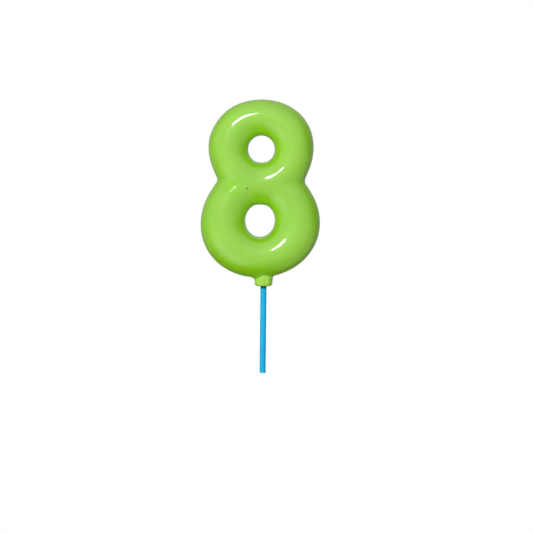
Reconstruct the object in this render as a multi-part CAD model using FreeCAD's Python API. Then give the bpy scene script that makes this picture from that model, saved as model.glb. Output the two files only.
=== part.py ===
import FreeCAD, Part
import math
import os
from collections import namedtuple

# Number birthday candle: an inflated-looking figure eight of wax on a plastic stick.
#
# Frame: origin at the centre of the stick's lower end, +Z up along the stick, the figure's
# front towards -Y.  All sizes are in millimetres.
#
# An inflated ring is the body of each lobe.  Its cross-sections are ellipses that reach from
# the edge of the hole to the outline of the lobe, so the outline and the hole are exact.

Ring = namedtuple(
    "Ring",
    "centre_z half_width rise drop crown_shift foot_shift hole_offset hole_z "
    "hole_half_width hole_half_height hole_lean half_depth depth_slope",
)

# Stick
STICK_DIAMETER = 2.8
STICK_BORE = 1.2
STICK_SHOWING = 41.2
STICK_HELD = 11.0
GRIP_GROOVES = 3
GRIP_GROOVE_DEPTH = 0.2
GRIP_GROOVE_WIDTH = 0.8
GRIP_GROOVE_PITCH = 3.6

# Figure: the stick stands a little to the right of the figure's middle
FIGURE_X = -1.85
UPPER_RING = Ring(
    centre_z=107.3,
    half_width=25.0,
    rise=22.6,
    drop=26.8,
    crown_shift=0.4,
    foot_shift=0.5,
    hole_offset=0.2,
    hole_z=106.2,
    hole_half_width=6.3,
    hole_half_height=6.5,
    hole_lean=0.0,
    half_depth=8.8,
    depth_slope=-0.3,
)
LOWER_RING = Ring(
    centre_z=71.0,
    half_width=28.35,
    rise=28.2,
    drop=25.8,
    crown_shift=0.0,
    foot_shift=-0.9,
    hole_offset=-0.1,
    hole_z=72.4,
    hole_half_width=7.0,
    hole_half_height=7.8,
    hole_lean=5.0,
    half_depth=9.7,
    depth_slope=0.2,
)
WAIST_ROUNDING = 2.4
COAT_THICKNESS = 0.7

# Neck plug: the tapered collar under the figure and the spigot that holds the stick in it
NECK_END_RADIUS = 3.8
NECK_TOP_RADIUS = 4.6
NECK_EDGE_ROUNDING = 1.0
NECK_SHOULDER_Z = 47.4
SPIGOT_RADIUS = 2.9
SPIGOT_END_Z = 55.0
SPIGOT_CHAMFER = 0.8

# Wick: up the right-hand limb of the upper lobe, over to the crown and out at its back
WICK_DIAMETER = 1.2
WICK_FOOT_Z = 94.0
WICK_LIMB_OFFSET = 15.7
WICK_CROWN_Z = 121.3
WICK_LIMB_BEND = 12.0
WICK_EXIT_BEND = 3.0
WICK_EXIT_LENGTH = 13.4
WICK_EXIT_CLIMB = 30.0

# Number of spline spans round a ring and round its cross-section
SPANS_ALONG = 24
SPANS_ACROSS = 16

UP = FreeCAD.Vector(0, 0, 1)


def outline_point(ring, turn, inset):
    """A point of a lobe's outline, moved in by inset; turn is 0 at the right and 90 at the top."""
    rise = ring.rise - inset
    drop = ring.drop - inset
    sine = math.sin(turn)
    crown = (sine * sine + sine) / 2
    foot = (sine * sine - sine) / 2
    shift = ring.crown_shift * crown + ring.foot_shift * foot
    x = FIGURE_X + (ring.half_width - inset) * math.cos(turn) + shift
    z = ring.centre_z + (rise + drop) / 2 * sine + (rise - drop) / 2 * sine * sine
    return FreeCAD.Vector(x, 0, z)


def hole_point(ring, turn, inset):
    """The point of the edge of a lobe's hole that faces the outline's point of the same turn."""
    across = (ring.hole_half_width + inset) * math.cos(turn)
    up = (ring.hole_half_height + inset) * math.sin(turn)
    lean = math.radians(ring.hole_lean)
    x = across * math.cos(lean) + up * math.sin(lean)
    z = up * math.cos(lean) - across * math.sin(lean)
    return FreeCAD.Vector(FIGURE_X + ring.hole_offset + x, 0, ring.hole_z + z)


def section_points(ring, turn, inset):
    """Points round the elliptical cross-section of a ring at one turn."""
    outline = outline_point(ring, turn, inset)
    hole = hole_point(ring, turn, inset)
    middle = (outline + hole) * 0.5
    reach = (outline - hole) * 0.5
    depth = ring.half_depth + ring.depth_slope * math.sin(turn) - inset
    points = []
    for step in range(SPANS_ACROSS):
        angle = 2 * math.pi * step / SPANS_ACROSS
        front = FreeCAD.Vector(0, -depth * math.sin(angle), 0)
        points.append(middle + reach * math.cos(angle) + front)
    return points


def closed_spline_poles(points):
    """Control points of a closed, evenly spaced cubic spline through the given points."""
    poles = []
    for index, point in enumerate(points):
        before = points[index - 1]
        after = points[(index + 1) % len(points)]
        poles.append((point * 8 - before - after) * (1 / 6))
    return poles


def ring_solid(ring, inset):
    """An inflated ring whose whole surface lies inset below the ring's full size."""
    sections = []
    for step in range(SPANS_ALONG):
        turn = 2 * math.pi * step / SPANS_ALONG
        sections.append(closed_spline_poles(section_points(ring, turn, inset)))
    rows = [closed_spline_poles(list(row)) for row in zip(*sections)]
    poles = [list(column) for column in zip(*rows)]
    surface = Part.BSplineSurface()
    surface.buildFromPolesMultsKnots(
        poles,
        [1] * (SPANS_ALONG + 1),
        [1] * (SPANS_ACROSS + 1),
        list(range(SPANS_ALONG + 1)),
        list(range(SPANS_ACROSS + 1)),
        True,
        True,
        3,
        3,
    )
    solid = Part.Solid(Part.Shell([surface.toShape()]))
    if solid.Volume < 0:
        solid.reverse()
    return solid


def figure_solid(inset):
    """The whole figure eight, both lobes joined in the bar that they share, the waist rounded."""
    lobes = ring_solid(LOWER_RING, inset).fuse(ring_solid(UPPER_RING, inset))
    waist = [edge for edge in lobes.Edges if len(lobes.ancestorsOfType(edge, Part.Face)) == 2]
    return lobes.makeFillet(WAIST_ROUNDING + inset, waist).Solids[0]


def rounded_path(corners, radii):
    """A wire along straight runs, each inner corner of which is rounded to its own radius."""
    edges = []
    start = corners[0]
    for index, radius in enumerate(radii, 1):
        corner = corners[index]
        back = (corners[index - 1] - corner).normalize()
        on = (corners[index + 1] - corner).normalize()
        half_angle = back.getAngle(on) / 2
        setback = radius / math.tan(half_angle)
        first = corner + back * setback
        last = corner + on * setback
        bisector = (back + on).normalize()
        middle = corner + bisector * (radius / math.sin(half_angle) - radius)
        edges.append(Part.LineSegment(start, first).toShape())
        edges.append(Part.Arc(first, middle, last).toShape())
        start = last
    edges.append(Part.LineSegment(start, corners[-1]).toShape())
    return Part.Wire(edges)


def make_wick():
    """The cotton wick, a round cord laid in the wax and led out at the back of the crown."""
    limb_x = FIGURE_X + WICK_LIMB_OFFSET
    climb = math.radians(WICK_EXIT_CLIMB)
    foot = FreeCAD.Vector(limb_x, 0, WICK_FOOT_Z)
    shoulder = FreeCAD.Vector(limb_x, 0, WICK_CROWN_Z)
    crown = FreeCAD.Vector(FIGURE_X, 0, WICK_CROWN_Z)
    tip = crown + FreeCAD.Vector(0, math.cos(climb), math.sin(climb)) * WICK_EXIT_LENGTH
    path = rounded_path([foot, shoulder, crown, tip], [WICK_LIMB_BEND, WICK_EXIT_BEND])
    profile = Part.Wire([Part.Circle(foot, UP, WICK_DIAMETER / 2).toShape()])
    return path.makePipeShell([profile], True, True)


def stick_blank():
    """The stick with no bore: a rod with grip grooves in the end that the wax holds."""
    radius = STICK_DIAMETER / 2
    rod = Part.makeCylinder(radius, STICK_SHOWING + STICK_HELD)
    for groove in range(GRIP_GROOVES):
        foot = FreeCAD.Vector(0, 0, STICK_SHOWING + groove * GRIP_GROOVE_PITCH)
        ring = Part.makeCylinder(radius + 1, GRIP_GROOVE_WIDTH, foot)
        root = Part.makeCylinder(radius - GRIP_GROOVE_DEPTH, GRIP_GROOVE_WIDTH, foot)
        rod = rod.cut(ring.cut(root))
    return rod


def make_stick():
    """The plastic stick, a tube cut square at both ends."""
    return stick_blank().cut(Part.makeCylinder(STICK_BORE / 2, STICK_SHOWING + STICK_HELD))


def neck_blank():
    """The wax collar and spigot with no socket, turned about the stick's axis."""
    edge = NECK_EDGE_ROUNDING
    low = STICK_SHOWING
    taper = (NECK_TOP_RADIUS - NECK_END_RADIUS) / (NECK_SHOULDER_Z - low)
    side_start = NECK_END_RADIUS + taper * edge
    slant = edge * (1 - math.sqrt(0.5))
    start = FreeCAD.Vector(0, 0, low)
    flat_end = FreeCAD.Vector(side_start - edge, 0, low)
    arc_middle = FreeCAD.Vector(side_start - slant, 0, low + slant)
    arc_end = FreeCAD.Vector(side_start, 0, low + edge)
    outline = [
        arc_end,
        FreeCAD.Vector(NECK_TOP_RADIUS, 0, NECK_SHOULDER_Z),
        FreeCAD.Vector(SPIGOT_RADIUS, 0, NECK_SHOULDER_Z),
        FreeCAD.Vector(SPIGOT_RADIUS, 0, SPIGOT_END_Z - SPIGOT_CHAMFER),
        FreeCAD.Vector(SPIGOT_RADIUS - SPIGOT_CHAMFER, 0, SPIGOT_END_Z),
        FreeCAD.Vector(0, 0, SPIGOT_END_Z),
        start,
    ]
    edges = [Part.LineSegment(start, flat_end).toShape()]
    edges.append(Part.Arc(flat_end, arc_middle, arc_end).toShape())
    for first, last in zip(outline, outline[1:]):
        edges.append(Part.LineSegment(first, last).toShape())
    return Part.Face(Part.Wire(edges)).revolve(FreeCAD.Vector(0, 0, 0), UP, 360).Solids[0]


def make_neck_plug():
    """The neck plug, cast round the stick so that its wax fills the grip grooves."""
    return neck_blank().cut(stick_blank())


def make_wax_core():
    """The cast wax body inside the coat, with its seats for the neck plug and the wick."""
    return figure_solid(COAT_THICKNESS).cut([neck_blank(), make_wick()])


def make_colour_coat():
    """The glossy coloured wax layer over the core, open round the neck and the wick."""
    skin = figure_solid(0).cut(figure_solid(COAT_THICKNESS))
    return skin.cut([neck_blank(), make_wick()])


def main():
    os.makedirs("parts", exist_ok=True)
    nodes = {
        "wax_core": make_wax_core(),
        "colour_coat": make_colour_coat(),
        "neck_plug": make_neck_plug(),
        "stick": make_stick(),
        "wick": make_wick(),
    }
    for name, shape in nodes.items():
        solids = shape.Solids
        print(name, "valid", shape.isValid(), "solids", len(solids), "volume", round(shape.Volume, 1))
        if len(solids) == 1:
            shape = solids[0]
        shape.exportStep(os.path.join("parts", name + ".step"))


main()
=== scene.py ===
"""Number eight birthday candle on a stick: the looks of the candle, built round its frame.

All sizes are in metres.  The origin is the centre of the stick's lower end, +Z runs up the
stick and the figure's front is towards -Y.
"""

import logging
import math
from dataclasses import dataclass
from enum import Enum
from functools import lru_cache
from typing import Callable, Optional

import bmesh
import bpy
import numpy as np
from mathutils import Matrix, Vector, noise


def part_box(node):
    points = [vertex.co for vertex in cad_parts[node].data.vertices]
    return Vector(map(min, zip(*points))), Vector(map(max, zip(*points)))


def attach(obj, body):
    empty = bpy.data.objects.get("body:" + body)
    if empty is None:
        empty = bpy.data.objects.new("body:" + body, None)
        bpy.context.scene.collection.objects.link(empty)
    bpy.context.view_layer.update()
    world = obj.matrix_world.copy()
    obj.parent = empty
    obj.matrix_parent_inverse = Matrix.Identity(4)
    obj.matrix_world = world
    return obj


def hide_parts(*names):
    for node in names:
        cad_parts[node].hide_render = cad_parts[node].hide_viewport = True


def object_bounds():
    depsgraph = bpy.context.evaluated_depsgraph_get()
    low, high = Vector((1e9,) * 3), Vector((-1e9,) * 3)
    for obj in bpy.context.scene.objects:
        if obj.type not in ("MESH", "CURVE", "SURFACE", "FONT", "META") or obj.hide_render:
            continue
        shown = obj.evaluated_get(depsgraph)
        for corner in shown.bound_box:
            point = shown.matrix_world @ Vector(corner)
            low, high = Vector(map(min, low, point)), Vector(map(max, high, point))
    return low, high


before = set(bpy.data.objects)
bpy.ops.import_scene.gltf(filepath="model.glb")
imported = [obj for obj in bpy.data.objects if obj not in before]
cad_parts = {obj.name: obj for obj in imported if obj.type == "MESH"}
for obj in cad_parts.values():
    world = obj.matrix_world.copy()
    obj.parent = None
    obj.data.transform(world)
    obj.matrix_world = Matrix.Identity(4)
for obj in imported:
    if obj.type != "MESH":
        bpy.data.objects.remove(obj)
cad_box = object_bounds()

log = logging.getLogger("number_candle")

MM = 0.001
Colour = tuple[float, float, float]
Place = tuple[float, float, float]
Level = Callable[[np.ndarray], np.ndarray]
OUTLINE_STEPS = 1441
SPOT_CORE = 0.4
BLOTCH_RANGE = (0.3, 0.7)
WAX_IOR = 1.44
GOLDEN_TURN = math.pi * (3 - math.sqrt(5))

# Lowest and highest corner of each designed part
BOXES = {name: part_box(name) for name in sorted(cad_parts)}


# ---------------------------------------------------------------- wax forms


def melted_join(first: np.ndarray, second: np.ndarray, reach: np.ndarray | float) -> np.ndarray:
    """Joins two forms as molten wax would, with a fillet where their surfaces come near.

    Args:
        first: depth of each point outside the first form, negative inside it.
        second: the same for the second form.
        reach: how near the two surfaces are when the fillet starts.

    Returns:
        The depth of each point outside the joined form.
    """
    near = np.maximum(reach - np.abs(first - second), 0) / reach
    return np.minimum(first, second) - near * near * reach / 4


def eased_cut(first: np.ndarray, second: np.ndarray, reach: np.ndarray | float) -> np.ndarray:
    """Keeps what two forms share, with a rounded edge where their surfaces meet.

    Args:
        first: depth of each point outside the first form, negative inside it.
        second: the same for the second form.
        reach: how near the two surfaces are when the rounding starts.

    Returns:
        The depth of each point outside the form that the two share.
    """
    return -melted_join(-first, -second, reach)


def wax_waves(points: np.ndarray, length: float, height: float, count: int = 6) -> np.ndarray:
    """Slow swells such as a hand-poured surface has, crossing each other in many directions.

    Args:
        points: places in the wax, one row each.
        length: distance from one crest to the next.
        height: how far the highest crest stands up.
        count: number of wave trains.

    Returns:
        The height of the swell at each point.
    """
    total = np.zeros(len(points))
    for train in range(count):
        climb = 1 - 2 * (train + 0.5) / count
        level = math.sqrt(1 - climb * climb)
        turn = train * GOLDEN_TURN
        heading = np.array([level * math.cos(turn), level * math.sin(turn), climb])
        total += np.sin(points @ heading * (2 * math.pi / length) + train)
    return height * total / count


@dataclass(frozen=True)
class Caster:
    """Casts a form, given as a level function, into one closed mesh of even four-sided faces."""

    cell: float
    relaxing: int = 10
    slope_step: float = 0.02
    slide_share: float = 0.6
    weld_share: float = 0.12

    def cast(self, level: Level, low: Vector, high: Vector) -> tuple[np.ndarray, np.ndarray]:
        """Casts the form inside a box.

        Args:
            level: depth outside the form for each row of an array of points.
            low: lowest corner of a box that holds the whole form.
            high: highest corner of that box.

        Returns:
            The mesh's points, and its faces as rows of four point numbers.
        """
        start = np.array(low) - 2 * self.cell
        counts = np.ceil((np.array(high) - start) / self.cell).astype(int) + 3
        axes = [start[axis] + self.cell * np.arange(counts[axis]) for axis in range(3)]
        grid = np.stack(np.meshgrid(*axes, indexing="ij"), -1).reshape(-1, 3)
        points, faces = self._net(level(grid).reshape(counts))
        points = self._settle(level, start + points * self.cell, 3)
        for _ in range(self.relaxing):
            points = self._settle(level, self._even_out(level, points, faces), 1)
        return self._settle(level, points, 2), faces

    @staticmethod
    def _net(values: np.ndarray) -> tuple[np.ndarray, np.ndarray]:
        """Nets the form's surface: one point in each cell it passes, one face round each edge.

        Args:
            values: level of the form at the corners of a grid of cells.

        Returns:
            The points in cells from the grid's first corner, and the faces.
        """
        cells = tuple(size - 1 for size in values.shape)
        total = np.zeros((int(np.prod(cells)), 3))
        hits = np.zeros(len(total))
        faces = []
        for axis in range(3):
            right, up = (axis + 1) % 3, (axis + 2) % 3
            here = np.moveaxis(values, axis, 0)[:-1]
            there = np.moveaxis(values, axis, 0)[1:]
            found = np.argwhere((here < 0) != (there < 0))
            inner, outer = here[tuple(found.T)], there[tuple(found.T)]
            corner = np.insert(found[:, 1:], axis, found[:, 0], axis=1)
            crossing = corner.astype(float)
            crossing[:, axis] += inner / (inner - outer)
            around = []
            for back_right, back_up in ((0, 0), (1, 0), (1, 1), (0, 1)):
                cell = corner.copy()
                cell[:, right] -= back_right
                cell[:, up] -= back_up
                number = np.ravel_multi_index(tuple(cell.T), cells)
                np.add.at(total, number, crossing)
                np.add.at(hits, number, 1)
                around.append(number)
            loop = np.stack(around, 1)
            inward = inner >= 0
            loop[inward] = loop[inward][:, ::-1]
            faces.append(loop)
        used, renumbered = np.unique(np.concatenate(faces), return_inverse=True)
        return total[used] / hits[used, None], renumbered.reshape(-1, 4)

    def _facing(self, level: Level, points: np.ndarray) -> np.ndarray:
        """The slope of the level at each point, which points out of the form."""
        step = self.cell * self.slope_step
        slope = np.empty_like(points)
        for axis in range(3):
            shift = np.zeros(3)
            shift[axis] = step
            slope[:, axis] = (level(points + shift) - level(points - shift)) / (2 * step)
        return slope

    def _settle(self, level: Level, points: np.ndarray, times: int) -> np.ndarray:
        """Moves each point onto the form's surface.

        Args:
            level: depth outside the form for each point.
            points: points near the surface.
            times: how many steps to take.

        Returns:
            The points on the surface.
        """
        for _ in range(times):
            slope = self._facing(level, points)
            depth = level(points) / np.maximum((slope * slope).sum(1), 1e-6)
            reach = np.clip(depth, -self.cell, self.cell)
            points = points - slope * reach[:, None]
        return points

    def _even_out(self, level: Level, points: np.ndarray, faces: np.ndarray) -> np.ndarray:
        """Slides each point along the surface towards the middle of its neighbours.

        Args:
            level: depth outside the form for each point.
            points: points on the surface.
            faces: the mesh's faces.

        Returns:
            The points, more evenly spread.
        """
        ends = np.concatenate([faces[:, [side, (side + 1) % 4]] for side in range(4)])
        count = np.bincount(ends[:, 0], minlength=len(points))
        sums = [np.bincount(ends[:, 0], points[ends[:, 1], axis]) for axis in range(3)]
        middle = np.stack(sums, 1)
        slide = (middle / count[:, None] - points) * self.slide_share
        slope = self._facing(level, points)
        outward = slope / np.linalg.norm(slope, axis=1)[:, None]
        return points + slide - outward * (slide * outward).sum(1)[:, None]

    def weld(self, piece: bpy.types.Object) -> None:
        """Welds the points of a cast piece that lie almost on top of one another."""
        reach = self.cell * self.weld_share
        form = bmesh.new()
        form.from_mesh(piece.data)
        bmesh.ops.remove_doubles(form, verts=form.verts, dist=reach)
        bmesh.ops.dissolve_degenerate(form, edges=form.edges, dist=reach / 10)
        form.to_mesh(piece.data)
        form.free()


# ---------------------------------------------------------------- finishes


class Recipe:
    """A finish being put together: one material with its shader nodes."""

    def __init__(self, name: str) -> None:
        """Starts a material that has only its output and one Principled shader."""
        self.material = bpy.data.materials.new(name)
        self.material.use_nodes = True
        self.nodes = self.material.node_tree.nodes
        self.shader = self.nodes["Principled BSDF"]

    def link(self, source: bpy.types.NodeSocket, target: bpy.types.NodeSocket) -> None:
        """Joins an output socket to an input socket."""
        self.material.node_tree.links.new(source, target)

    def place(self) -> bpy.types.NodeSocket:
        """The point on the surface, in the candle's own frame."""
        return self.nodes.new("ShaderNodeTexCoord").outputs["Object"]

    def stretched(self, scale: Place) -> bpy.types.NodeSocket:
        """The point on the surface with each axis scaled, for grain that runs one way."""
        mapping = self.nodes.new("ShaderNodeMapping")
        mapping.inputs["Scale"].default_value = scale
        self.link(self.place(), mapping.inputs["Vector"])
        return mapping.outputs["Vector"]

    def clouds(
        self, size: float, detail: float = 2.0, where: Optional[bpy.types.NodeSocket] = None
    ) -> bpy.types.NodeSocket:
        """A cloudy pattern from 0 to 1.

        Args:
            size: how far apart its clouds are.
            detail: how many finer layers it holds.
            where: the point it is read at, or None for the candle's own frame.

        Returns:
            The socket that carries the pattern.
        """
        cloud = self.nodes.new("ShaderNodeTexNoise")
        cloud.inputs["Scale"].default_value = 1 / size
        cloud.inputs["Detail"].default_value = detail
        self.link(where or self.place(), cloud.inputs["Vector"])
        return cloud.outputs["Fac"]

    def span(
        self, source: bpy.types.NodeSocket, low: float, high: float, start: float, end: float
    ) -> bpy.types.NodeSocket:
        """Maps one range of numbers to another and stays inside it.

        Args:
            source: the socket to read.
            low: lowest value read.
            high: highest value read.
            start: result at low.
            end: result at high.

        Returns:
            The socket that carries the result.
        """
        mapped = self.nodes.new("ShaderNodeMapRange")
        mapped.interpolation_type = "SMOOTHSTEP"
        for socket, value in zip(mapped.inputs[1:5], (low, high, start, end)):
            socket.default_value = value
        self.link(source, mapped.inputs["Value"])
        return mapped.outputs["Result"]

    def blotches(
        self, cloud: bpy.types.NodeSocket, start: float = 0.0, end: float = 1.0
    ) -> bpy.types.NodeSocket:
        """A cloudy pattern with its middle range drawn out into soft blotches."""
        return self.span(cloud, *BLOTCH_RANGE, start, end)

    def dyed(
        self, share: bpy.types.NodeSocket, first: Colour | bpy.types.NodeSocket, second: Colour
    ) -> bpy.types.NodeSocket:
        """Mixes two colours by a share.

        Args:
            share: 0 for the first colour, 1 for the second.
            first: a colour, or the socket that carries one.
            second: a colour.

        Returns:
            The socket that carries the mixed colour.
        """
        mix = self.nodes.new("ShaderNodeMix")
        mix.data_type = "RGBA"
        if isinstance(first, tuple):
            mix.inputs[6].default_value = (*first, 1)
        else:
            self.link(first, mix.inputs[6])
        mix.inputs[7].default_value = (*second, 1)
        self.link(share, mix.inputs[0])
        return mix.outputs[2]

    def near(self, spot: Place, radius: float) -> bpy.types.NodeSocket:
        """1 at a spot of the surface, falling to 0 at a radius from it."""
        gap = self.nodes.new("ShaderNodeVectorMath")
        gap.operation = "DISTANCE"
        gap.inputs[1].default_value = spot
        self.link(self.place(), gap.inputs[0])
        return self.span(gap.outputs["Value"], radius * SPOT_CORE, radius, 1, 0)

    def relief(
        self,
        height: bpy.types.NodeSocket,
        depth: float,
        under: Optional[bpy.types.NodeSocket] = None,
    ) -> bpy.types.NodeSocket:
        """Fine relief on the surface.

        Args:
            height: the pattern that stands up.
            depth: how far it stands up where it is 1.
            under: coarser relief below this one.

        Returns:
            The socket that carries the surface's direction.
        """
        bump = self.nodes.new("ShaderNodeBump")
        bump.inputs["Strength"].default_value = 1
        bump.inputs["Distance"].default_value = depth
        self.link(height, bump.inputs["Height"])
        if under is not None:
            self.link(under, bump.inputs["Normal"])
        return bump.outputs["Normal"]

    def settings(self, **values: float | Colour | bpy.types.NodeSocket) -> None:
        """Sets or links the shader's own sockets, named with _ for spaces."""
        for name, value in values.items():
            socket = self.shader.inputs[name.replace("_", " ")]
            if isinstance(value, bpy.types.NodeSocket):
                self.link(value, socket)
                continue
            if isinstance(value, tuple) and socket.type == "RGBA":
                value = (*value, 1)
            socket.default_value = value


class Speck(Enum):
    """The small flaws of a dipped wax coat."""

    PINHOLE = "pinhole"
    PALE_DOT = "pale dot"
    DULL_PATCH = "dull patch"


@dataclass(frozen=True)
class Flaw:
    """One small flaw in the coat and the place where it is."""

    kind: Speck
    spot: Place
    radius: float


@dataclass(frozen=True)
class LimeGlossWax:
    """The dipped lime coat: dyed wax under its own hard shine."""

    lime: Colour = (0.33, 0.72, 0.006)
    deep_lime: Colour = (0.30, 0.69, 0.004)
    # Painted shade: the pinhole is drawn as a near-black dot whose colour stands in for the shade
    # inside the hole
    pinhole: Colour = (0.02, 0.05, 0.01)
    pale_dot: Colour = (0.62, 0.85, 0.40)
    satin: float = 0.36
    satin_swing: float = 0.04
    shine: float = 0.9
    dull_shine: float = 0.14
    shine_roughness: float = 0.05
    shine_ior: float = 1.6
    depth_weight: float = 0.6
    depth_colour: Colour = (0.5, 1.0, 0.12)
    depth_reach: float = 2.4 * MM
    cloud_size: float = 14 * MM
    peel_size: float = 1.4 * MM
    peel_depth: float = 0.004 * MM
    flaws: tuple[Flaw, ...] = ()

    def material(self) -> bpy.types.Material:
        """The coat's material."""
        recipe = Recipe("lime_gloss_wax")
        cloud = recipe.blotches(recipe.clouds(self.cloud_size))
        colour = recipe.dyed(cloud, self.lime, self.deep_lime)
        # The pinhole's colour is painted shade of the hole
        speck_colours = {Speck.PINHOLE: self.pinhole, Speck.PALE_DOT: self.pale_dot}
        shine = self.shine
        for flaw in self.flaws:
            near = recipe.near(flaw.spot, flaw.radius)
            if flaw.kind is Speck.DULL_PATCH:
                shine = recipe.span(near, 0, 1, self.shine, self.dull_shine)
            else:
                colour = recipe.dyed(near, colour, speck_colours[flaw.kind])
        fine = recipe.clouds(self.cloud_size / 4)
        satin = recipe.blotches(fine, self.satin - self.satin_swing, self.satin + self.satin_swing)
        peel = recipe.relief(recipe.clouds(self.peel_size, 1), self.peel_depth)
        recipe.settings(
            Base_Color=colour,
            Roughness=satin,
            Normal=peel,
            Coat_Normal=peel,
            IOR=WAX_IOR,
            Coat_Weight=shine,
            Coat_Roughness=self.shine_roughness,
            Coat_IOR=self.shine_ior,
            Subsurface_Weight=self.depth_weight,
            Subsurface_Radius=self.depth_colour,
            Subsurface_Scale=self.depth_reach,
        )
        return recipe.material


@dataclass(frozen=True)
class CastCoreWax:
    """The plain cast wax under the coat: pale, matt and faintly grainy."""

    pale: Colour = (0.62, 0.72, 0.40)
    green: Colour = (0.50, 0.66, 0.28)
    roughness: float = 0.6
    roughness_swing: float = 0.1
    depth_weight: float = 0.2
    depth_reach: float = 1.5 * MM
    cloud_size: float = 9 * MM
    grain_size: float = 0.5 * MM
    grain_depth: float = 0.02 * MM

    def material(self) -> bpy.types.Material:
        """The core's material."""
        recipe = Recipe("cast_core_wax")
        cloud = recipe.blotches(recipe.clouds(self.cloud_size, 4))
        grain = recipe.clouds(self.grain_size, 3)
        swing = self.roughness_swing
        rough = recipe.blotches(grain, self.roughness - swing, self.roughness + swing)
        recipe.settings(
            Base_Color=recipe.dyed(cloud, self.pale, self.green),
            Roughness=rough,
            Normal=recipe.relief(grain, self.grain_depth),
            Subsurface_Weight=self.depth_weight,
            Subsurface_Scale=self.depth_reach,
        )
        return recipe.material


@dataclass(frozen=True)
class MottledNeckWax:
    """The neck's wax: poured later than the figure, mottled and not polished."""

    bright: Colour = (0.55, 0.90, 0.20)
    olive: Colour = (0.35, 0.74, 0.03)
    smoothest: float = 0.28
    roughest: float = 0.52
    depth_weight: float = 0.25
    depth_colour: Colour = (0.6, 1.0, 0.2)
    depth_reach: float = 1.0 * MM
    mottle_range: tuple[float, float] = (0.35, 0.65)
    mottle_size: float = 1.3 * MM
    grain_size: float = 0.45 * MM
    mottle_depth: float = 0.10 * MM
    grain_depth: float = 0.03 * MM

    def material(self) -> bpy.types.Material:
        """The neck's material."""
        recipe = Recipe("mottled_neck_wax")
        mottle = recipe.clouds(self.mottle_size, 3)
        share = recipe.span(mottle, *self.mottle_range, 0, 1)
        grain = recipe.clouds(self.grain_size, 2)
        rough = recipe.blotches(grain, self.smoothest, self.roughest)
        lumps = recipe.relief(mottle, self.mottle_depth)
        recipe.settings(
            Base_Color=recipe.dyed(share, self.olive, self.bright),
            Roughness=rough,
            Normal=recipe.relief(grain, self.grain_depth, lumps),
            IOR=WAX_IOR,
            Subsurface_Weight=self.depth_weight,
            Subsurface_Radius=self.depth_colour,
            Subsurface_Scale=self.depth_reach,
        )
        return recipe.material


@dataclass(frozen=True)
class BlueStickPlastic:
    """The stick's drawn plastic: sky blue, with faint drag lines along its length, and painted
    shade in a dark band just below the neck's mouth.
    """

    blue: Colour = (0.0, 0.46, 0.82)
    light_blue: Colour = (0.002, 0.53, 0.87)
    smoothest: float = 0.24
    roughest: float = 0.38
    ior: float = 1.46
    gloss: float = 0.3
    depth_weight: float = 0.15
    depth_colour: Colour = (0.1, 0.6, 1.0)
    depth_reach: float = 0.5 * MM
    line_size: float = 0.35 * MM
    line_stretch: float = 0.03
    line_depth: float = 0.006 * MM
    band_size: float = 8 * MM
    # Painted shade: a dark navy band on the stick just below the neck, where the neck shades it
    painted_neck_shade: Colour = (0.0, 0.055, 0.11)
    neck_shade_start: float = 39.5 * MM
    neck_shade_end: float = 40.7 * MM

    def material(self) -> bpy.types.Material:
        """The stick's material."""
        recipe = Recipe("blue_stick_plastic")
        lines = recipe.clouds(self.line_size, 2, recipe.stretched((1, 1, self.line_stretch)))
        bands = recipe.clouds(self.band_size, 2)
        share = recipe.blotches(bands)
        colour = recipe.dyed(share, self.blue, self.light_blue)
        axes = recipe.nodes.new("ShaderNodeSeparateXYZ")
        recipe.link(recipe.place(), axes.inputs["Vector"])
        # Painted shade: grows from nothing at the band's start to full at its end, up towards the
        # neck's mouth
        neck_shade_share = recipe.span(axes.outputs["Z"], self.neck_shade_start, self.neck_shade_end, 0, 1)
        rough = recipe.blotches(lines, self.smoothest, self.roughest)
        recipe.settings(
            Base_Color=recipe.dyed(neck_shade_share, colour, self.painted_neck_shade),
            Roughness=rough,
            Normal=recipe.relief(lines, self.line_depth),
            IOR=self.ior,
            Specular_IOR_Level=self.gloss,
            Subsurface_Weight=self.depth_weight,
            Subsurface_Radius=self.depth_colour,
            Subsurface_Scale=self.depth_reach,
        )
        return recipe.material


@dataclass(frozen=True)
class WaxedCotton:
    """The wick's cotton: off-white yarn, tinted and stiffened where the wax has climbed it."""

    cotton: Colour = (0.80, 0.77, 0.66)
    soaked: Colour = (0.52, 0.66, 0.24)
    smoothest: float = 0.55
    roughest: float = 0.85
    fuzz: float = 0.3
    fibre_size: float = 0.12 * MM
    fibre_depth: float = 0.03 * MM
    soak_start: float = 0.0
    soak_end: float = 1.0

    def material(self) -> bpy.types.Material:
        """The wick's material."""
        recipe = Recipe("waxed_cotton")
        axes = recipe.nodes.new("ShaderNodeSeparateXYZ")
        recipe.link(recipe.place(), axes.inputs["Vector"])
        soak = recipe.span(axes.outputs["Y"], self.soak_start, self.soak_end, 0, 1)
        fibres = recipe.clouds(self.fibre_size, 3)
        rough = recipe.blotches(fibres, self.smoothest, self.roughest)
        recipe.settings(
            Base_Color=recipe.dyed(soak, self.soaked, self.cotton),
            Roughness=rough,
            Normal=recipe.relief(fibres, self.fibre_depth),
            Sheen_Weight=self.fuzz,
            Sheen_Roughness=0.5,
        )
        return recipe.material


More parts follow.
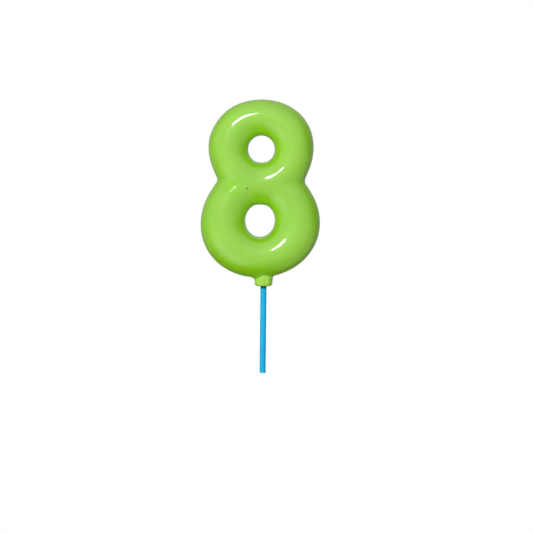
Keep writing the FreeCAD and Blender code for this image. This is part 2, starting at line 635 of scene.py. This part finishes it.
@dataclass(frozen=True)
class PaleTable:
    """The studio table's matt top, which fades out towards its rim."""

    pale: Colour = (0.93, 0.93, 0.92)
    warm: Colour = (0.92, 0.915, 0.905)
    roughness: float = 0.85
    gloss: float = 0.1
    lift: float = 0.22
    cloud_size: float = 0.12
    fade_start: float = 0.25
    fade_end: float = 0.48

    def material(self) -> bpy.types.Material:
        """The table's material."""
        recipe = Recipe("pale_table")
        cloud = recipe.clouds(self.cloud_size, 3)
        reach = recipe.nodes.new("ShaderNodeVectorMath")
        reach.operation = "LENGTH"
        recipe.link(recipe.place(), reach.inputs[0])
        recipe.settings(
            Base_Color=recipe.dyed(cloud, self.pale, self.warm),
            Alpha=recipe.span(reach.outputs["Value"], self.fade_start, self.fade_end, 1, 0),
            Roughness=self.roughness,
            Specular_IOR_Level=self.gloss,
            Emission_Color=self.pale,
            Emission_Strength=self.lift,
        )
        return recipe.material


# ---------------------------------------------------------------- meshes


def solid_object(
    name: str, points: np.ndarray | list, faces: np.ndarray | list, material: bpy.types.Material
) -> bpy.types.Object:
    """Makes one smooth-shaded mesh object.

    Args:
        name: the piece's name.
        points: places of its vertices.
        faces: point numbers of each face.
        material: its finish.

    Returns:
        The new object, linked to the scene.
    """
    mesh = bpy.data.meshes.new(name)
    mesh.from_pydata(
        [tuple(point) for point in np.asarray(points, float)],
        [],
        [tuple(int(number) for number in face) for face in faces],
    )
    mesh.polygons.foreach_set("use_smooth", [True] * len(mesh.polygons))
    mesh.materials.append(material)
    mesh.update()
    made = bpy.data.objects.new(name, mesh)
    bpy.context.scene.collection.objects.link(made)
    return made


def seat_piece(piece: bpy.types.Object, node: str) -> None:
    """Puts a piece in its place on the candle, in the stead of its CAD node.

    Args:
        piece: the finished piece.
        node: name of the CAD node it stands for.
    """
    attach(piece, "root")
    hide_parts(node)
    log.info("%s: %d faces, stands for %s", piece.name, len(piece.data.polygons), node)


# ---------------------------------------------------------------- the figure


@dataclass(frozen=True)
class Swell:
    """A slight fullness or flatness of a lobe's outline over part of its turn."""

    turn: float
    spread: float
    height: float


@dataclass(frozen=True)
class Lobe:
    """An inflated ring: round in section, from the edge of its hole to its outline.

    Its depth grows by depth_slope towards its top, and by lean_high and lean_low towards the
    right in its upper and lower halves.  Round bar_turn it is bar_hollow less deep.
    """

    half_width: float
    rise: float
    drop: float
    crown_shift: float
    foot_shift: float
    hole_offset: float
    hole_above_centre: float
    hole_half_width: float
    hole_half_height: float
    hole_lean: float
    half_depth: float
    depth_slope: float
    lean_high: float
    lean_low: float
    bar_turn: float
    bar_hollow: float = 0.55 * MM
    bar_spread: float = 24.0
    swells: tuple[Swell, ...] = ()

    @lru_cache
    def outline(self) -> tuple[np.ndarray, np.ndarray]:
        """The lobe's outline as seen from the middle of its hole.

        Returns:
            Turns round the hole, rising, and the outline's distance at each.
        """
        turn = np.linspace(0, 2 * math.pi, OUTLINE_STEPS)
        sine = np.sin(turn)
        crown = (sine * sine + sine) / 2
        foot = (sine * sine - sine) / 2
        x = self.half_width * np.cos(turn) + self.crown_shift * crown + self.foot_shift * foot
        x = x - self.hole_offset
        z = (self.rise + self.drop) / 2 * sine + (self.rise - self.drop) / 2 * sine * sine
        z = z - self.hole_above_centre
        seen = np.unwrap(np.arctan2(z, x))
        reach = np.hypot(x, z)
        for swell in self.swells:
            off = np.mod(seen - math.radians(swell.turn) + math.pi, 2 * math.pi) - math.pi
            reach = reach + swell.height * np.exp(-((off / math.radians(swell.spread)) ** 2))
        return seen, reach

    def level(self, points: np.ndarray, middle: float, centre: float) -> np.ndarray:
        """Depth outside the lobe.

        Args:
            points: places to measure, one row each.
            middle: X of the figure's middle.
            centre: Z of the lobe's centre.

        Returns:
            The depth of each point outside the lobe, negative inside it.
        """
        x = points[:, 0] - middle - self.hole_offset
        z = points[:, 2] - centre - self.hole_above_centre
        turn = np.arctan2(z, x)
        seen, reach = self.outline()
        outer = np.interp(np.mod(turn - seen[0], 2 * math.pi) + seen[0], seen, reach)
        lean = turn + math.radians(self.hole_lean)
        across = np.cos(lean) / self.hole_half_width
        along = np.sin(lean) / self.hole_half_height
        inner = 1 / np.hypot(across, along)
        half = (outer - inner) / 2
        off = (np.hypot(x, z) - (outer + inner) / 2) / half
        from_bar = np.mod(turn - math.radians(self.bar_turn) + math.pi, 2 * math.pi) - math.pi
        hollow = self.bar_hollow * np.exp(-((from_bar / math.radians(self.bar_spread)) ** 2))
        high = (1 + np.sin(turn)) / 2
        side = self.lean_low + (self.lean_high - self.lean_low) * high
        depth = self.half_depth + self.depth_slope * np.sin(turn) + side * np.cos(turn) - hollow
        return (np.hypot(off, points[:, 1] / depth) - 1) * np.minimum(half, depth)


@dataclass(frozen=True)
class FigureCoat:
    """The glossy figure eight: two inflated lobes melted into one in the bar that they share."""

    upper: Lobe = Lobe(
        half_width=25.0 * MM,
        rise=22.6 * MM,
        drop=26.8 * MM,
        crown_shift=0.4 * MM,
        foot_shift=0.5 * MM,
        hole_offset=0.2 * MM,
        hole_above_centre=-1.1 * MM,
        hole_half_width=6.3 * MM,
        hole_half_height=6.5 * MM,
        hole_lean=0.0,
        half_depth=8.8 * MM,
        depth_slope=-0.5 * MM,
        lean_high=0.35 * MM,
        lean_low=-0.2 * MM,
        bar_turn=-90,
        swells=(
            Swell(turn=150, spread=16, height=-0.4 * MM),
            Swell(turn=-37, spread=9, height=0.5 * MM),
            Swell(turn=-143, spread=9, height=0.5 * MM),
        ),
    )
    lower: Lobe = Lobe(
        half_width=28.35 * MM,
        rise=28.2 * MM,
        drop=25.8 * MM,
        crown_shift=0.0,
        foot_shift=-0.9 * MM,
        hole_offset=-0.1 * MM,
        hole_above_centre=1.4 * MM,
        hole_half_width=7.0 * MM,
        hole_half_height=7.8 * MM,
        hole_lean=5.0,
        half_depth=9.2 * MM,
        depth_slope=-0.5 * MM,
        lean_high=-0.6 * MM,
        lean_low=-0.6 * MM,
        bar_turn=90,
        swells=(
            Swell(turn=43, spread=8, height=0.5 * MM),
            Swell(turn=137, spread=8, height=0.5 * MM),
        ),
    )
    bar_join: float = 1.6 * MM
    waist_join: float = 1.7 * MM
    join_start: float = 8 * MM
    join_run: float = 12 * MM
    wave_length: float = 16 * MM
    wave_height: float = 0.03 * MM
    neck_radius: float = 4.0 * MM
    neck_flare: float = 0.08
    neck_bury: float = 0.15 * MM
    neck_fillet_left: float = 3.2 * MM
    neck_fillet_right: float = 1.5 * MM
    fillet_change: float = 0.8
    meniscus_reach: float = 1.5 * MM
    meniscus_climb: float = 0.9 * MM
    wick_radius: float = 0.6 * MM
    wick_sleeve: float = 0.66 * MM
    wick_climb: float = 30.0
    wick_bend_above_hole: float = 15.1 * MM
    wick_search: float = 20 * MM
    wick_search_steps: int = 400
    caster: Caster = Caster(cell=0.5 * MM)

    @property
    def middle(self) -> float:
        """X of the figure's middle."""
        low, high = BOXES["colour_coat"]
        return (low.x + high.x) / 2

    @property
    def upper_centre(self) -> float:
        """Z of the upper lobe's centre."""
        return BOXES["colour_coat"][1].z - self.upper.rise

    @property
    def lower_centre(self) -> float:
        """Z of the lower lobe's centre."""
        return BOXES["colour_coat"][0].z + self.lower.drop

    def lobes_level(self, points: np.ndarray) -> np.ndarray:
        """Depth outside the two joined lobes, before the wax's own unevenness."""
        upper = self.upper.level(points, self.middle, self.upper_centre)
        lower = self.lower.level(points, self.middle, self.lower_centre)
        out = np.clip((np.abs(points[:, 0] - self.middle) - self.join_start) / self.join_run, 0, 1)
        reach = self.bar_join + (self.waist_join - self.bar_join) * out
        return melted_join(upper, lower, reach)

    def wick_line(self) -> tuple[np.ndarray, np.ndarray]:
        """Where the wick turns out of the crown, and the direction in which it leaves."""
        climb = math.radians(self.wick_climb)
        hole = self.upper_centre + self.upper.hole_above_centre
        start = np.array([self.middle, 0, hole + self.wick_bend_above_hole])
        return start, np.array([0, math.cos(climb), math.sin(climb)])

    def level(self, points: np.ndarray) -> np.ndarray:
        """Depth outside the figure, with its slow swells and the wax drawn up round the wick."""
        body = self.lobes_level(points) - wax_waves(points, self.wave_length, self.wave_height)
        start, way = self.wick_line()
        along = (points - start) @ way
        off = np.linalg.norm(points - start - along[:, None] * way, axis=1)
        foot = self._wick_exit()
        sleeve = np.hypot(off, np.maximum(np.abs(along - foot / 2) - foot / 2, 0))
        sleeve = sleeve - self.wick_sleeve
        return melted_join(self._onto_neck(points, body), sleeve, self.meniscus_reach)

    def _onto_neck(self, points: np.ndarray, body: np.ndarray) -> np.ndarray:
        """Draws the wax of the underside down onto the neck, further on the left than the right.

        Args:
            points: places to measure, one row each.
            body: depth of each point outside the lobes.

        Returns:
            The depth of each point outside the lobes with their fillet.
        """
        low = BOXES["neck_plug"][0].z
        x, y, z = points.T
        side = np.hypot(x, y) - self.neck_radius - self.neck_flare * (z - low)
        side = np.maximum(side, low + self.neck_radius / 2 - z)
        side = np.maximum(side, z - low - 2 * self.neck_radius)
        right = np.clip((x / self.neck_radius + 1) / self.fillet_change, 0, 1)
        reach = self.neck_fillet_left + (self.neck_fillet_right - self.neck_fillet_left) * right
        return melted_join(body, side + reach / 8 + self.neck_bury, reach)

    @lru_cache
    def _wick_exit(self) -> float:
        """How far along its line the wick comes out of the wax, with the meniscus's climb."""
        start, way = self.wick_line()
        steps = np.linspace(0, self.wick_search, self.wick_search_steps)
        inside = self.lobes_level(start + steps[:, None] * way) < 0
        return float(steps[inside].max()) + self.meniscus_climb - self.wick_radius

    def build(self, finish: LimeGlossWax) -> bpy.types.Object:
        """Casts the figure and seats it.

        Args:
            finish: the coat's finish.

        Returns:
            The figure's piece.
        """
        low, high = BOXES["colour_coat"]
        low = Vector((low.x, low.y, BOXES["neck_plug"][0].z))
        points, faces = self.caster.cast(self.level, low, high)
        piece = solid_object("figure_coat", points, faces, finish.material())
        self.caster.weld(piece)
        seat_piece(piece, "colour_coat")
        return piece


# ---------------------------------------------------------------- the neck


@dataclass(frozen=True)
class NeckCollar:
    """The short tapered collar below the figure, melted onto its underside round the stick."""

    end_radius: float = 4.1 * MM
    top_radius: float = 4.6 * MM
    edge: float = 1.0 * MM
    edge_reach: float = 1.6 * MM
    spigot_radius: float = 2.9 * MM
    shoulder_rise: float = 6.2 * MM
    socket_bite: float = 0.02 * MM
    mouth_rounding: float = 0.25 * MM
    fillet: float = 0.5 * MM
    sink: float = 0.12 * MM
    lump_length: float = 2.3 * MM
    lump_height: float = 0.10 * MM
    hidden_rise: float = 2.6 * MM
    flange_radius: float = 7.5 * MM
    caster: Caster = Caster(cell=0.22 * MM, relaxing=6)

    def level(self, points: np.ndarray, figure: FigureCoat) -> np.ndarray:
        """Depth outside the collar.

        Args:
            points: places to measure, one row each.
            figure: the figure whose underside the collar is melted onto.

        Returns:
            The depth of each point outside the collar, negative inside it.
        """
        low, high = BOXES["neck_plug"]
        stick_low, stick_high = BOXES["stick"]
        x, y, z = points.T
        out = np.hypot(x, y)
        rise = z - low.z
        taper = (self.top_radius - self.end_radius) / self.shoulder_rise
        side = out - self.end_radius - taper * rise
        lumps = wax_waves(points, self.lump_length, self.lump_height, 9)
        cone = eased_cut(side - lumps, -rise + lumps / 3, self.edge_reach)
        cone = eased_cut(cone, rise - self.shoulder_rise - self.hidden_rise, self.edge)
        body = figure.lobes_level(points)
        joined = melted_join(cone, body + self.sink, self.fillet)
        flange = np.maximum(out - self.flange_radius, rise - self.shoulder_rise - self.hidden_rise)
        joined = eased_cut(joined, flange, self.edge)
        spigot = np.maximum(out - self.spigot_radius, z - high.z)
        spigot = np.maximum(spigot, -rise + self.edge)
        stick_radius = (stick_high.x - stick_low.x) / 2
        socket = np.maximum(stick_radius - self.socket_bite - out, z - stick_high.z)
        return eased_cut(np.minimum(joined, spigot), socket, self.mouth_rounding)

    def build(self, figure: FigureCoat, finish: MottledNeckWax) -> bpy.types.Object:
        """Casts the collar and seats it.

        Args:
            figure: the figure whose underside the collar is melted onto.
            finish: the collar's finish.

        Returns:
            The collar's piece.
        """
        low, high = BOXES["neck_plug"]
        spread = Vector((self.flange_radius, self.flange_radius, 0))
        low = Vector((0, 0, low.z)) - spread
        high = Vector((0, 0, high.z)) + spread
        points, faces = self.caster.cast(lambda where: self.level(where, figure), low, high)
        piece = solid_object("neck_collar", points, faces, finish.material())
        self.caster.weld(piece)
        seat_piece(piece, "neck_plug")
        return piece


# ---------------------------------------------------------------- the stick


@dataclass(frozen=True)
class StickTube:
    """The hollow stick, turned from its profile: rounded cut ends and grip grooves."""

    bore_radius: float = 0.6 * MM
    fullness: float = 0.05 * MM
    cut_rounding: float = 0.14 * MM
    grooves: int = 3
    groove_depth: float = 0.2 * MM
    groove_width: float = 0.8 * MM
    groove_pitch: float = 3.6 * MM
    groove_ease: float = 0.8 * MM / 12
    ring_spacing: float = 0.8 * MM
    sides: int = 56
    waver: float = 0.012 * MM
    waver_length: float = 5 * MM

    def profile(self) -> list[tuple[float, float]]:
        """Radius and height of each ring of points, up the outside and down the bore."""
        low, high = BOXES["stick"]
        radius = (high.x - low.x) / 2 + self.fullness
        mouth = BOXES["neck_plug"][0].z
        outside = self._rounded_cut(radius, low.z, 1)
        here = low.z + self.ring_spacing
        while here < mouth - self.ring_spacing / 2:
            outside.append((radius, here))
            here += self.ring_spacing
        ease = self.groove_ease
        for groove in range(self.grooves):
            foot = mouth + groove * self.groove_pitch
            root = radius - self.groove_depth
            head = foot + self.groove_width
            outside += [(radius, foot), (root, foot + ease), (root, head - ease), (radius, head)]
        outside += self._rounded_cut(radius, high.z, -1)[::-1]
        bore = [(self.bore_radius, high.z), (self.bore_radius, (low.z + high.z) / 2)]
        bore += [(self.bore_radius, low.z + self.cut_rounding)]
        bore += [(self.bore_radius + self.cut_rounding / 3, low.z)]
        return outside + bore

    def _rounded_cut(self, radius: float, end: float, up: int) -> list[tuple[float, float]]:
        """The rounded outer edge of a cut end, from the cut face to the side.

        Args:
            radius: the stick's radius.
            end: Z of the cut face.
            up: 1 where the stick runs up from the cut, -1 where it runs down.

        Returns:
            Radius and height of each point.
        """
        edge = self.cut_rounding
        turns = np.linspace(0, math.pi / 2, 5)
        return [
            (radius - edge + edge * math.sin(turn), end + up * edge * (1 - math.cos(turn)))
            for turn in turns
        ]

    def build(self, finish: BlueStickPlastic) -> bpy.types.Object:
        """Turns the stick and seats it.

        Args:
            finish: the stick's finish.

        Returns:
            The stick's piece.
        """
        profile = self.profile()
        points = []
        for radius, height in profile:
            for side in range(self.sides):
                turn = 2 * math.pi * side / self.sides
                way = Vector((math.cos(turn), math.sin(turn), 0))
                spot = way * radius + Vector((0, 0, height))
                points.append(spot - way * self.waver * abs(noise.noise(spot / self.waver_length)))
        faces = []
        for ring in range(len(profile)):
            after = (ring + 1) % len(profile)
            for side in range(self.sides):
                beside = (side + 1) % self.sides
                faces.append(
                    (
                        ring * self.sides + side,
                        ring * self.sides + beside,
                        after * self.sides + beside,
                        after * self.sides + side,
                    )
                )
        piece = solid_object("stick_tube", points, faces, finish.material())
        seat_piece(piece, "stick")
        return piece


# ---------------------------------------------------------------- the wick


def headings(line: np.ndarray) -> np.ndarray:
    """The unit direction of a line at each of its points."""
    along = np.gradient(line, axis=0)
    return along / np.linalg.norm(along, axis=1)[:, None]


def distances(line: np.ndarray) -> np.ndarray:
    """How far along a line each of its points lies."""
    return np.concatenate([[0], np.cumsum(np.linalg.norm(np.diff(line, axis=0), axis=1))])


@dataclass(frozen=True)
class BraidedWick:
    """The cotton wick: three strands laid round each other, with loose fibres at the tip."""

    strands: int = 3
    strand_radius: float = 0.3 * MM
    lay_radius: float = 0.27 * MM
    lay_length: float = 3.2 * MM
    sides: int = 10
    steps: int = 150
    smoothness: int = 24
    fibres: int = 15
    fibre_radius: float = 0.045 * MM
    fibre_length: float = 0.9 * MM
    fibre_steps: int = 7
    fibre_root: float = 0.6
    end_taper: float = 0.4
    fray: tuple[float, float] = (0.35, 0.5)
    unevenness: float = 0.45
    stretch: float = 0.8
    splay: float = 0.6
    any_way: Place = (0.3, 0.5, 0.81)
    tip_margin: float = 0.5 * MM

    def route(self, figure: FigureCoat) -> list[np.ndarray]:
        """Control points of the wick's line: up the limb, over to the crown and out behind.

        Args:
            figure: the figure that holds the wick.

        Returns:
            The control points, from the foot to the tip.
        """
        low, high = BOXES["wick"]
        start, way = figure.wick_line()
        limb = high.x - figure.wick_radius
        length = (high.y - figure.wick_radius / 2 - self.tip_margin) / way[1]
        return [
            np.array([limb, 0, low.z]),
            np.array([limb, 0, (low.z + start[2]) / 2]),
            np.array([limb - 2 * MM, 0, start[2] - 1 * MM]),
            np.array([(limb + start[0]) / 2, 0, start[2]]),
            start,
            start + way * length / 2,
            start + way * length,
        ]

    def centre_line(self, figure: FigureCoat) -> np.ndarray:
        """Evenly spaced points on the smooth line through the wick's route.

        Args:
            figure: the figure that holds the wick.

        Returns:
            The points, one row each.
        """
        curve = bpy.data.curves.new("wick_route", "CURVE")
        curve.dimensions = "3D"
        spline = curve.splines.new("NURBS")
        route = self.route(figure)
        spline.points.add(len(route) - 1)
        for point, place in zip(spline.points, route):
            point.co = (*place, 1)
        spline.order_u = 3
        spline.use_endpoint_u = True
        spline.resolution_u = self.smoothness
        holder = bpy.data.objects.new("wick_route", curve)
        line = bpy.data.meshes.new_from_object(holder)
        points = np.array([vertex.co[:] for vertex in line.vertices])
        bpy.data.meshes.remove(line)
        bpy.data.objects.remove(holder)
        bpy.data.curves.remove(curve)
        gone = distances(points)
        even = np.linspace(0, gone[-1], self.steps)
        return np.stack([np.interp(even, gone, points[:, axis]) for axis in range(3)], 1)

    def yarn(self, line: np.ndarray, radii: np.ndarray, first: int) -> tuple[list, list]:
        """A round yarn along a line, closed at both ends.

        Args:
            line: the yarn's centre line.
            radii: its radius at each point.
            first: number of the yarn's first point in the whole mesh.

        Returns:
            The yarn's points and faces.
        """
        along = headings(line)
        side = np.cross(along[0], np.array(self.any_way))
        points, faces = [], []
        for spot, way, radius in zip(line, along, radii):
            side = side - way * (side @ way)
            side /= np.linalg.norm(side)
            other = np.cross(way, side)
            for step in range(self.sides):
                turn = 2 * math.pi * step / self.sides
                points.append(spot + radius * (math.cos(turn) * side + math.sin(turn) * other))
        for ring in range(len(line) - 1):
            low, high = first + ring * self.sides, first + (ring + 1) * self.sides
            for step in range(self.sides):
                beside = (step + 1) % self.sides
                faces.append((low + step, low + beside, high + beside, high + step))
        end = first + (len(line) - 1) * self.sides
        faces.append(tuple(first + step for step in range(self.sides))[::-1])
        faces.append(tuple(end + step for step in range(self.sides)))
        return points, faces

    def build(self, figure: FigureCoat, finish: WaxedCotton) -> bpy.types.Object:
        """Lays the strands, frays the tip and seats the wick.

        Args:
            figure: the figure that holds the wick.
            finish: the wick's finish.

        Returns:
            The wick's piece.
        """
        line = self.centre_line(figure)
        along = headings(line)
        gone = distances(line)
        side = np.array([0.0, 1.0, 0.0])
        sides = []
        for way in along:
            side = side - way * (side @ way)
            side = side / np.linalg.norm(side)
            sides.append(side)
        sides = np.array(sides)
        others = np.cross(along, sides)
        from_end = np.minimum(np.arange(self.steps), np.arange(self.steps)[::-1])
        ends = np.clip(from_end / 3, self.end_taper, 1)
        points, faces = [], []
        for strand in range(self.strands):
            turn = 2 * math.pi * (gone / self.lay_length + strand / self.strands)
            lay = np.cos(turn)[:, None] * sides + np.sin(turn)[:, None] * others
            lay = self.lay_radius * lay
            more, loops = self.yarn(line + lay, self.strand_radius * ends, len(points))
            points += more
            faces += loops
        tip, way = line[-1], along[-1]
        for fibre in range(self.fibres):
            turn = fibre * GOLDEN_TURN
            out = math.cos(turn) * sides[-1] + math.sin(turn) * others[-1]
            spread = self.fray[0] + self.fray[1] * ((fibre * 7) % self.fibres) / self.fibres
            shortfall = self.unevenness * (1 - ((fibre * 4) % self.fibres) / self.fibres)
            length = self.fibre_length * (1 - shortfall)
            reach = np.linspace(-self.fibre_root, 1, self.fibre_steps)[:, None]
            start = tip + out * self.lay_radius * (self.end_taper + fibre / self.fibres)
            bend = out * spread * np.clip(reach, 0, 1) ** 2
            fibre_line = start + length * (way * reach * self.stretch + bend * self.splay)
            radii = self.fibre_radius * np.linspace(1, self.end_taper, self.fibre_steps)
            more, loops = self.yarn(fibre_line, radii, len(points))
            points += more
            faces += loops
        piece = solid_object("wick_strands", points, faces, finish.material())
        seat_piece(piece, "wick")
        return piece


# ---------------------------------------------------------------- the core


@dataclass(frozen=True)
class WaxCore:
    """The cast wax inside the coat: the figure's own form, one coat's thickness smaller."""

    coat_thickness: float = 0.7 * MM
    caster: Caster = Caster(cell=0.9 * MM, relaxing=6)

    def build(self, figure: FigureCoat, finish: CastCoreWax) -> bpy.types.Object:
        """Casts the core and seats it.

        Args:
            figure: the figure that the core lies in.
            finish: the core's finish.

        Returns:
            The core's piece.
        """
        low, high = BOXES["wax_core"]
        points, faces = self.caster.cast(
            lambda where: figure.lobes_level(where) + self.coat_thickness, low, high
        )
        piece = solid_object("core_casting", points, faces, finish.material())
        self.caster.weld(piece)
        seat_piece(piece, "wax_core")
        return piece


# ---------------------------------------------------------------- the studio


class LampKind(Enum):
    """The lamps of the studio."""

    SOFTBOX = "softbox"
    FILL = "fill"


@dataclass(frozen=True)
class Lamp:
    """One soft lamp, placed by the direction that it shines from."""

    name: str
    kind: LampKind
    azimuth: float
    elevation: float
    width: float
    height: float
    power: float
    distance: float = 1.0

    def build(self, target: Vector) -> bpy.types.Object:
        """Hangs the lamp and points it at the candle.

        Args:
            target: the point that it lights.

        Returns:
            The lamp's object.
        """
        light = bpy.data.lights.new(self.name, "AREA")
        light.shape = "ELLIPSE"
        light.size = self.width
        light.size_y = self.height
        light.energy = self.power
        lamp = bpy.data.objects.new(self.name, light)
        azimuth, elevation = math.radians(self.azimuth), math.radians(self.elevation)
        way = Vector(
            (
                math.sin(azimuth) * math.cos(elevation),
                -math.cos(azimuth) * math.cos(elevation),
                math.sin(elevation),
            )
        )
        lamp.location = target + way * self.distance
        lamp.rotation_mode = "QUATERNION"
        lamp.rotation_quaternion = way.to_track_quat("Z", "Y")
        lamp.visible_camera = False
        lamp.visible_glossy = self.kind is LampKind.SOFTBOX
        bpy.context.scene.collection.objects.link(lamp)
        log.info("lamp %s: %s", self.name, self.kind.value)
        return lamp


@dataclass(frozen=True)
class Glow:
    """A soft bright patch of the studio's walls.

    Its middle lies in the direction of azimuth and elevation, in degrees, and it fades out where
    the cosine of the angle from there is edge.  One that is gloss_only shows in reflections but
    doesn't light the candle.
    """

    azimuth: float
    elevation: float
    edge: float
    strength: float
    gloss_only: bool = False

    def way(self) -> Place:
        """The direction from the candle to the middle of the patch."""
        azimuth, elevation = math.radians(self.azimuth), math.radians(self.elevation)
        level = math.cos(elevation)
        return math.sin(azimuth) * level, -math.cos(azimuth) * level, math.sin(elevation)


@dataclass(frozen=True)
class Surround:
    """The white studio round the candle: brightest in front, with soft patches elsewhere."""

    dim: float = 0.02
    seen: float = 1.0
    glows: tuple[Glow, ...] = (
        Glow(azimuth=-10, elevation=25, edge=-0.3, strength=0.69),
        Glow(azimuth=-10, elevation=25, edge=-0.1, strength=0.5, gloss_only=True),
        Glow(azimuth=-42, elevation=-36, edge=0.8, strength=0.85),
        Glow(azimuth=-100, elevation=0, edge=0.6, strength=0.3),
        Glow(azimuth=0, elevation=85, edge=0.3, strength=0.2, gloss_only=True),
        Glow(azimuth=75, elevation=-35, edge=0.6, strength=0.5, gloss_only=True),
        Glow(azimuth=170, elevation=25, edge=0.1, strength=0.4, gloss_only=True),
    )

    def build(self) -> None:
        """Makes the world's shader."""
        world = bpy.data.worlds.new("studio")
        bpy.context.scene.world = world
        world.use_nodes = True
        nodes, links = world.node_tree.nodes, world.node_tree.links
        nodes.clear()
        place = nodes.new("ShaderNodeTexCoord")
        path = nodes.new("ShaderNodeLightPath")
        total = None
        for glow in self.glows:
            facing = nodes.new("ShaderNodeVectorMath")
            facing.operation = "DOT_PRODUCT"
            facing.inputs[1].default_value = glow.way()
            links.new(place.outputs["Generated"], facing.inputs[0])
            ramp = nodes.new("ShaderNodeMapRange")
            ramp.interpolation_type = "SMOOTHERSTEP"
            for socket, value in zip(ramp.inputs[1:5], (glow.edge, 1.0, 0.0, glow.strength)):
                socket.default_value = value
            links.new(facing.outputs["Value"], ramp.inputs["Value"])
            adding = nodes.new("ShaderNodeMath")
            adding.operation = "MULTIPLY_ADD"
            adding.inputs[1].default_value = 1
            adding.inputs[2].default_value = self.dim
            links.new(ramp.outputs["Result"], adding.inputs[0])
            if glow.gloss_only:
                links.new(path.outputs["Is Glossy Ray"], adding.inputs[1])
            if total is not None:
                links.new(total, adding.inputs[2])
            total = adding.outputs["Value"]
        lit = nodes.new("ShaderNodeBackground")
        links.new(total, lit.inputs["Strength"])
        plain = nodes.new("ShaderNodeBackground")
        plain.inputs["Strength"].default_value = self.seen
        for shade in (lit, plain):
            shade.inputs["Color"].default_value = (1, 1, 1, 1)
        mix = nodes.new("ShaderNodeMixShader")
        links.new(path.outputs["Is Camera Ray"], mix.inputs[0])
        links.new(lit.outputs[0], mix.inputs[1])
        links.new(plain.outputs[0], mix.inputs[2])
        out = nodes.new("ShaderNodeOutputWorld")
        links.new(mix.outputs[0], out.inputs["Surface"])


@dataclass(frozen=True)
class Viewpoint:
    """The camera: level, in front of the candle, with a long lens."""

    distance: float = 1.5
    aim_x: float = 1.33 * MM
    aim_z: float = 50.56 * MM
    frame_height: float = 253.2 * MM
    sensor: float = 36.0
    clip: tuple[float, float] = (0.01, 20.0)
    roll: float = -0.61

    def build(self) -> bpy.types.Object:
        """Sets up the camera and makes it the scene's own."""
        data = bpy.data.cameras.new("camera")
        data.sensor_width = self.sensor
        data.lens = self.sensor * self.distance / self.frame_height
        data.clip_start, data.clip_end = self.clip
        camera = bpy.data.objects.new("camera", data)
        camera.location = (self.aim_x, -self.distance, self.aim_z)
        camera.rotation_euler = (math.pi / 2, math.radians(self.roll), 0)
        bpy.context.scene.collection.objects.link(camera)
        bpy.context.scene.camera = camera
        return camera


@dataclass(frozen=True)
class Table:
    """The round pale table top under the candle."""

    radius: float = 0.5
    below_stick: float = 0.12
    thickness: float = 0.01
    rings: int = 12
    sides: int = 96

    def build(self, finish: PaleTable) -> bpy.types.Object:
        """Makes the table top.

        Args:
            finish: the table's finish.

        Returns:
            The table's object.
        """
        points = [(0.0, 0.0, 0.0)]
        for ring in range(1, self.rings + 1):
            radius = self.radius * ring / self.rings
            for side in range(self.sides):
                turn = 2 * math.pi * side / self.sides
                points.append((radius * math.cos(turn), radius * math.sin(turn), 0.0))
        faces = [(0, 1 + side, 1 + (side + 1) % self.sides) for side in range(self.sides)]
        for ring in range(self.rings - 1):
            inner, outer = 1 + ring * self.sides, 1 + (ring + 1) * self.sides
            for side in range(self.sides):
                beside = (side + 1) % self.sides
                faces.append((inner + side, outer + side, outer + beside, inner + beside))
        table = solid_object("table", points, faces, finish.material())
        table.location = (0, 0, -self.below_stick)
        table.visible_diffuse = False
        table.visible_glossy = False
        table.visible_shadow = False
        log.info("table: %d faces", len(faces))
        return table


# Azimuth and elevation in degrees, then width, height and power of each lamp
LAMPS = (
    Lamp("key_softbox", LampKind.SOFTBOX, -12, 24.5, 0.25, 0.18, 2.25),
    Lamp("low_fill", LampKind.FILL, -8, -55, 0.6, 0.4, 1.2),
    Lamp("right_fill", LampKind.FILL, 55, -35, 0.5, 0.5, 0.2),
    Lamp("left_fill", LampKind.FILL, -85, 5, 0.5, 0.9, 0.4),
    Lamp("back_fill", LampKind.FILL, 165, 35, 0.7, 0.7, 3.0),
)

# Places are in the candle's own frame
FLAWS = (
    # The pinhole is drawn as a dot of painted shade
    Flaw(Speck.PINHOLE, (-8.2 * MM, -9.0 * MM, 87.3 * MM), 0.6 * MM),
    Flaw(Speck.PALE_DOT, (-1.5 * MM, -6.0 * MM, 122.0 * MM), 0.5 * MM),
    Flaw(Speck.DULL_PATCH, (-15.0 * MM, -7.9 * MM, 86.9 * MM), 5.0 * MM),
)


def main() -> None:
    """Builds the candle piece by piece, then the studio round it."""
    logging.basicConfig(level=logging.INFO, format="%(name)s: %(message)s")
    scene = bpy.context.scene
    scene.view_settings.view_transform = "Standard"
    figure = FigureCoat()
    tip_y = BOXES["wick"][1].y
    WaxCore().build(figure, CastCoreWax())
    figure.build(LimeGlossWax(flaws=FLAWS))
    NeckCollar().build(figure, MottledNeckWax())
    StickTube().build(BlueStickPlastic())
    BraidedWick().build(figure, WaxedCotton(soak_start=tip_y - 4 * MM, soak_end=tip_y - MM))
    Viewpoint().build()
    Surround().build()
    middle = (Vector(cad_box[0]) + Vector(cad_box[1])) / 2
    for lamp in LAMPS:
        lamp.build(middle)
    Table().build(PaleTable())


if __name__ == "__main__":
    main()
